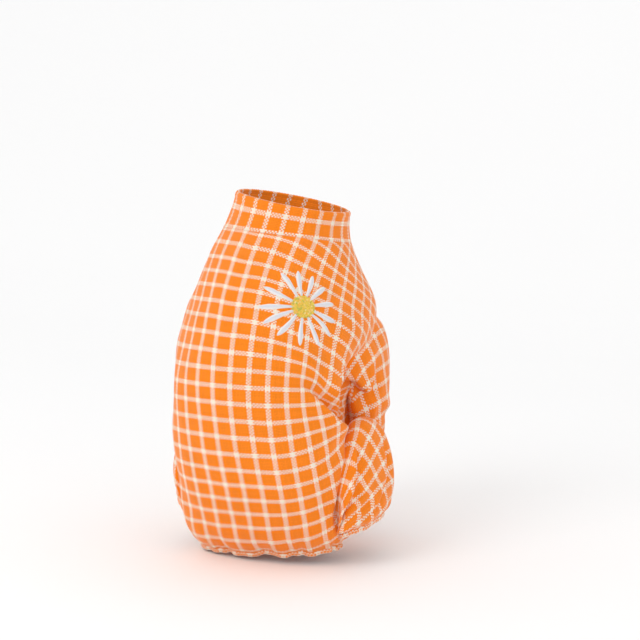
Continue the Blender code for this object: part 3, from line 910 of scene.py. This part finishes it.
def makeCollar():
    m = collarMake
    lean = Matrix.Rotation(-m["leanRight"], 3, "Y") @ Matrix.Rotation(m["leanForward"], 3, "X")
    columns, section = m["columns"], m["section"]
    turn = -(np.linspace(0, 1, columns + 1) - 0.5) * fullTurn
    seam = bodySurface(np.zeros(columns + 1), turn)
    top = np.array(lean @ Vector((0, 0, m["height"])))
    flatTop = np.stack((np.sin(turn), np.cos(turn), 0 * turn), 1) * m["topRadius"]
    edge = top + flatTop @ np.array(lean).T
    bm, layer, column, row = flatSheet(columns, section)
    share = row / section
    rise, depth = np.interp(share, *zip(*m["rises"])), np.interp(share, *zip(*m["depths"]))
    low, high = seam[column], edge[column]
    low = low - (high - low) * m["footShare"]
    middle = low + (high - low) * rise[:, None]
    inward = (top * rise[:, None]) - middle
    inward /= np.linalg.norm(inward, axis=1)[:, None]
    hollow = -0.0007 * np.exp(-(rise / 0.12) ** 2) + 0.0011 * np.sin(np.pi * np.clip(rise, 0, 1))
    hollow += 0.0004 * softWaves(middle) * ease(rise / 0.3)
    swell = 0.0005 * np.exp(-((rise - 0.9) / 0.05) ** 2)        # the folded edge is a little thicker
    points = middle + inward * (depth * m["cloth"] + hollow - swell + 0.0001)[:, None]
    lengths = np.concatenate(([0], np.cumsum(np.linalg.norm(np.diff(seam, axis=0), axis=1))))
    u = lengths - np.interp(0, -turn, lengths)
    spread = 1 - 0.06 * rise
    v = 0.0015 - (np.minimum(share, 1 - share) / 0.5) * 0.0235
    shapeSheet(bm, layer, points, np.stack((u[column] * spread, v), 1))
    bmesh.ops.recalc_face_normals(bm, faces=bm.faces)
    return newObject("collar_band", bm, cotton)


collar = makeCollar()
print("collar made")


# Placket down the chest and belly
placketMake = {
    "width": 0.015, "length": 0.21, "cloth": 0.0010, "rows": 120, "columns": 16, "flat": (0.015, 0.2),
    "checkShift": 0.006,        # puts a light band on each edge
}
bodySkin = BVHTree.FromObject(body, bpy.context.evaluated_depsgraph_get())


def makePlacket():
    m = placketMake
    bm, layer, column, row = flatSheet(m["columns"], m["rows"])
    middles = bodySurface(row / m["rows"], np.full(len(row), math.pi))
    for face in bm.faces:
        for loop in face.loops:
            x, y = loop.vert.co[:2]
            loop[layer].uv = (x * m["width"] + m["checkShift"], (0.5 - y) * m["length"])
    for vert, middle in zip(bm.verts, middles):
        x = vert.co.x
        place, normal = bodySkin.find_nearest(Vector(middle) + Vector((x * m["width"], 0, 0)))[:2]
        pillow = 0.0012 + 0.0004 * (1 - (2 * abs(x)) ** 4) - 0.0003 * math.exp(-((abs(x) - 0.4) / 0.03) ** 2)
        pillow *= 0.25 + 0.75 * min((0.5 - vert.co.y) / 0.02, 1)     # sewn in under the collar
        vert.co = place + normal * pillow
    bmesh.ops.recalc_face_normals(bm, faces=bm.faces)
    bm.normal_update()
    if sum(face.normal.y for face in bm.faces) > 0:
        bmesh.ops.reverse_faces(bm, faces=bm.faces)
    placket = newObject("placket_strip", bm, cotton)
    addWall(placket, m["cloth"])
    return placket


placket = makePlacket()
print("placket made")


# Daisy
daisy = {
    "along": 0.238, "turn": math.radians(-46.6), "centreRadius": 0.0078, "reach": 0.0295,
    "halfWidth": 0.0019, "height": 0.0010, "stitch": 0.00042, "wall": 0.0003, "rows": 132, "columns": 14,
    "knot": 0.00062, "knots": 190, "knotTurn": 2.39996, "oval": (1.07, 0.94),
    # whiteShade is painted shade: the grey-lavender in the petals' middles
    "white": (0.98, 0.97, 0.96, 1), "whiteShade": (0.60, 0.60, 0.70, 1),
    "yellows": [(0.0, (0.50, 0.52, 0.06, 1)), (0.25, (0.80, 0.56, 0.05, 1)), (0.6, (0.90, 0.66, 0.07, 1)),
                (0.82, (0.92, 0.50, 0.05, 1)), (1.0, (0.95, 0.84, 0.42, 1))],
    # share of a petal's length from its root, and its width and height there
    "petalForm": [(0.0, 0.42, 0.6), (0.25, 0.62, 0.9), (0.5, 0.88, 1.0), (0.7, 1.0, 1.0),
                  (0.88, 0.74, 0.85), (0.96, 0.42, 0.6), (1.0, 0.10, 0.25)],
    # each petal's turn in degrees and its share of the reach
    "petals": [
        (83, 0.82), (58, 0.79), (31, 0.77), (2, 0.80), (-25, 0.85), (-47, 0.89), (-75, 0.895),
        (-108, 0.87), (-143, 0.915), (-166, 1.00), (173, 1.00), (144, 0.935), (110, 0.87),
    ],
}


def whiteMaterial():
    # satin stitch: each thread lies across the petal
    material, tree, shader = newMaterial("white thread", roughness=0.42, sheen=0.3)
    place = tree.nodes.new("ShaderNodeUVMap")
    place.uv_map = "thread"
    split = tree.nodes.new("ShaderNodeSeparateXYZ")
    tree.links.new(place.outputs[0], split.inputs[0])
    # x runs across the petal from -1 to 1, y along it in threads
    edge = mathNode(tree, "POWER", mathNode(tree, "ABSOLUTE", split.outputs["X"]), 1.6)
    wave = mathNode(tree, "SINE", mathNode(tree, "MULTIPLY", split.outputs["Y"], math.pi))
    strand = mathNode(tree, "ABSOLUTE", wave)
    # painted shade: each petal is grey-lavender across its middle, in uneven patches, and white towards its
    # edges
    uneven = mathNode(tree, "MULTIPLY_ADD", noiseNode(tree, place.outputs[0], 3, 3), 0.9, -0.15)
    share = mathNode(tree, "MULTIPLY_ADD", edge, 0.85, uneven)
    colour = mixColour(tree, share, daisy["whiteShade"], daisy["white"])
    # painted shade: darker in the grooves between the threads
    shade = mathNode(tree, "MULTIPLY_ADD", strand, 0.22, 0.80)
    tree.links.new(shaded(tree, colour, shade), shader.inputs["Base Color"])
    bumpFrom(tree, shader, strand, 0.7, 0.0001)
    return material


def yellowMaterial():
    # each knot has its own tone
    material, tree, shader = newMaterial("yellow thread", roughness=0.5, sheen=0.3)
    tone = tree.nodes.new("ShaderNodeAttribute")
    tone.attribute_name = "tone"
    ramp = tree.nodes.new("ShaderNodeValToRGB")
    first, *between, last = daisy["yellows"]
    elements = ramp.color_ramp.elements
    elements[0].position, elements[0].color = first
    elements[1].position, elements[1].color = last
    for place, colour in between:
        elements.new(place).color = colour
    tree.links.new(tone.outputs["Fac"], ramp.inputs[0])
    coord = tree.nodes.new("ShaderNodeTexCoord")
    fibres = noiseNode(tree, coord.outputs["Object"], 3500)
    shade = mathNode(tree, "MULTIPLY_ADD", fibres, 0.5, 0.72)
    tree.links.new(shaded(tree, ramp.outputs[0], shade), shader.inputs["Base Color"])
    bumpFrom(tree, shader, fibres, 1.0, 0.00015)
    return material


whiteThread = whiteMaterial()
yellowThread = yellowMaterial()


def daisyPlace():
    def at(along, turn):
        return Vector(bodySurface(np.array([along]), np.array([turn]))[0])

    middle = at(daisy["along"], daisy["turn"])
    onward = at(daisy["along"] + 0.01, daisy["turn"]) - middle
    around = at(daisy["along"], daisy["turn"] + 0.01) - middle
    normal = around.cross(onward).normalized()
    top = (Vector((0, 0, 1)) - normal * normal.z).normalized()
    right = top.cross(normal)
    return Matrix.Translation(middle) @ Matrix((right, top, normal)).transposed().to_4x4()


daisyFrame = daisyPlace()
daisyInward = -(daisyFrame.to_3x3() @ Vector((0, 0, 1)))


def laid(x, y, height):
    # a place on the cloth under the daisy's own x and y
    above = daisyFrame @ Vector((x, y, 0.02))
    place, normal = bodySkin.ray_cast(above, daisyInward)[:2]
    return place + normal * height


def makePetal(number, turn, reach):
    bm = bmesh.new()
    layer = bm.loops.layers.uv.new("thread")
    bmesh.ops.create_grid(bm, x_segments=daisy["columns"], y_segments=daisy["rows"], size=0.5)
    direction = Matrix.Rotation(math.radians(turn), 2)
    root = daisy["centreRadius"] - 0.0006
    length = daisy["reach"] * reach - root
    places, widths, heights = zip(*daisy["petalForm"])
    wander = math.sin(number * 2.3) * 0.0006
    for face in bm.faces:
        for loop in face.loops:
            x, y = loop.vert.co[:2]
            loop[layer].uv = (2 * x, (0.5 - y) * length / daisy["stitch"] + 1.4 * abs(x))
    for vert in bm.verts:
        x, y = 2 * vert.co.x, 0.5 - vert.co.y
        threads = y * length / daisy["stitch"] + 0.7 * abs(x)
        ridge = abs(math.sin(math.pi * threads))
        halfWidth = daisy["halfWidth"] * np.interp(y, places, widths)
        halfWidth += 0.00008 * (ridge - 0.5) + 0.00007 * math.sin(threads * 1.7 + number)
        height = daisy["height"] * np.interp(y, places, heights) * (1 - abs(x) ** 2.6) + 0.00007 * ridge
        bend = wander * math.sin(math.pi * y)
        place = direction @ Vector((root + length * y, halfWidth * x * 0.97 + bend))
        vert.co = laid(place.x, place.y, max(height, 0.00004))
    bmesh.ops.recalc_face_normals(bm, faces=bm.faces)
    bm.normal_update()
    if sum(face.normal.dot(daisyInward) for face in bm.faces) > 0:
        bmesh.ops.reverse_faces(bm, faces=bm.faces)
    petal = newObject(f"petal_{number:02d}_satin", bm, whiteThread)
    addWall(petal, daisy["wall"])
    return petal


def makeCentre():
    # loops of thread packed in a spiral
    bm = bmesh.new()
    tone = bm.verts.layers.float.new("tone")
    wide, high = daisy["oval"]
    knots = np.random.default_rng(5)
    for i in range(daisy["knots"]):
        radius = daisy["centreRadius"] * math.sqrt((i + 0.4) / daisy["knots"]) * 0.965
        turn = i * daisy["knotTurn"] + knots.uniform(-0.05, 0.05)
        x, y = radius * math.cos(turn) * wide, radius * math.sin(turn) * high
        size = daisy["knot"] * knots.uniform(0.85, 1.15)
        height = 0.00055 + 0.0006 * (1 - (radius / daisy["centreRadius"]) ** 2)
        made = bmesh.ops.create_icosphere(bm, subdivisions=2, radius=size)["verts"]
        shade = knots.uniform(0, 1)
        squash = Matrix.Diagonal((1.15, 0.9, 0.8))
        spin = Matrix.Rotation(knots.uniform(0, fullTurn), 3, "Z")
        middle = laid(x, y, height)
        for vert in made:
            vert.co = middle + daisyFrame.to_3x3() @ (spin @ (squash @ vert.co))
            vert[tone] = shade
    # the padded ground that the knots sit on
    knotVerts = len(bm.verts)
    radius = daisy["centreRadius"]
    rim = bmesh.ops.create_circle(bm, cap_ends=True, cap_tris=True, segments=48, radius=radius)["verts"]
    edges = {edge for vert in rim for edge in vert.link_edges}
    bmesh.ops.subdivide_edges(bm, edges=list(edges), cuts=4, use_grid_fill=True)
    for vert in list(bm.verts)[knotVerts:]:
        vert[tone] = 0.4
        share = vert.co.to_2d().length / radius
        vert.co = laid(vert.co.x * wide, vert.co.y * high, 0.0001 + 0.0007 * (1 - share ** 3))
    return newObject("daisy_centre_knots", bm, yellowThread)


petals = [makePetal(number, turn, reach) for number, (turn, reach) in enumerate(daisy["petals"], 1)]
centre = makeCentre()
print("daisy made")


# Studio
studio = {
    "world": 0.90, "floor": -0.2092, "paper": 0.99, "paperShade": 0.985, "aim": (0, 0.03, -0.1),
    "key": {"place": (0.55, 1.3, 1.1), "size": 0.9, "energy": 7.0},
    "fill": {"place": (-1.4, 0.9, 0.5), "size": 1.2, "energy": 1.5},
}


def paperMaterial():
    material, tree, shader = newMaterial("pale floor", roughness=0.9)
    coord = tree.nodes.new("ShaderNodeTexCoord")
    clouds = noiseNode(tree, coord.outputs["Object"], 3)
    light = studio["paper"]
    dark = light * studio["paperShade"]
    colour = mixColour(tree, clouds, (dark, dark, dark, 1), (light, light, light, 1))
    tree.links.new(colour, shader.inputs["Base Color"])
    return material


def areaLight(name):
    values = studio[name]
    light = bpy.data.lights.new(name, "AREA")
    light.shape = "DISK"
    light.size = values["size"]
    light.energy = values["energy"]
    lamp = bpy.data.objects.new(name, light)
    lamp.location = values["place"]
    lamp.rotation_euler = (Vector(studio["aim"]) - lamp.location).to_track_quat("-Z", "Y").to_euler()
    scene.collection.objects.link(lamp)


def makeStudio():
    # a floor that sweeps up behind the suit
    bm = bmesh.new()
    bmesh.ops.create_grid(bm, x_segments=24, y_segments=60, size=4)
    for vert in bm.verts:
        far = max(-vert.co.y - 0.6, 0)
        vert.co.z = studio["floor"] + 2.2 * ease(far / 3.4) + 0.2 * far * far
    floor = newObject("floor", bm, paperMaterial())
    world = bpy.data.worlds.new("studio")
    world.use_nodes = True
    background = world.node_tree.nodes["Background"]
    background.inputs["Color"].default_value = (1, 1, 1, 1)
    background.inputs["Strength"].default_value = studio["world"]
    scene.world = world
    areaLight("key")
    areaLight("fill")
    scene.view_settings.view_transform = "Standard"
    scene.view_settings.look = "None"
    scene.view_settings.exposure = 0
    scene.view_settings.gamma = 1


makeStudio()
print("studio made")


# What each piece rides on, stands for and is cut from
def clothPiece(piece, nodes, flat):
    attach(piece, "root")
    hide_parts(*nodes)
    cloth = sum(face.area for face in piece.data.polygons) / 2
    print(f"{piece.name}: {cloth * 1e4:.0f} cm2 of cloth, cut from {flat[0] * flat[1] * 1e4:.0f} cm2")


clothPiece(body, ["body"], bodyMake["flat"])
for (kind, sideName), (limb, _) in limbs.items():
    clothPiece(limb, [f"{kind}_{sideName}"], limbMake[kind]["flat"])
clothPiece(collar, ["collar"], collarMake["flat"])     # as folded
clothPiece(placket, ["belly_placket"], placketMake["flat"])
strip = hemMake["strip"]
for place, (hem, length) in hems.items():
    clothPiece(hem, [place + "_hem"], (length, strip))
for number, petal in enumerate(petals, 1):
    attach(petal, "root")
    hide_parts(f"daisy_petal_{number:02d}")
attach(centre, "root")
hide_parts("daisy_centre")
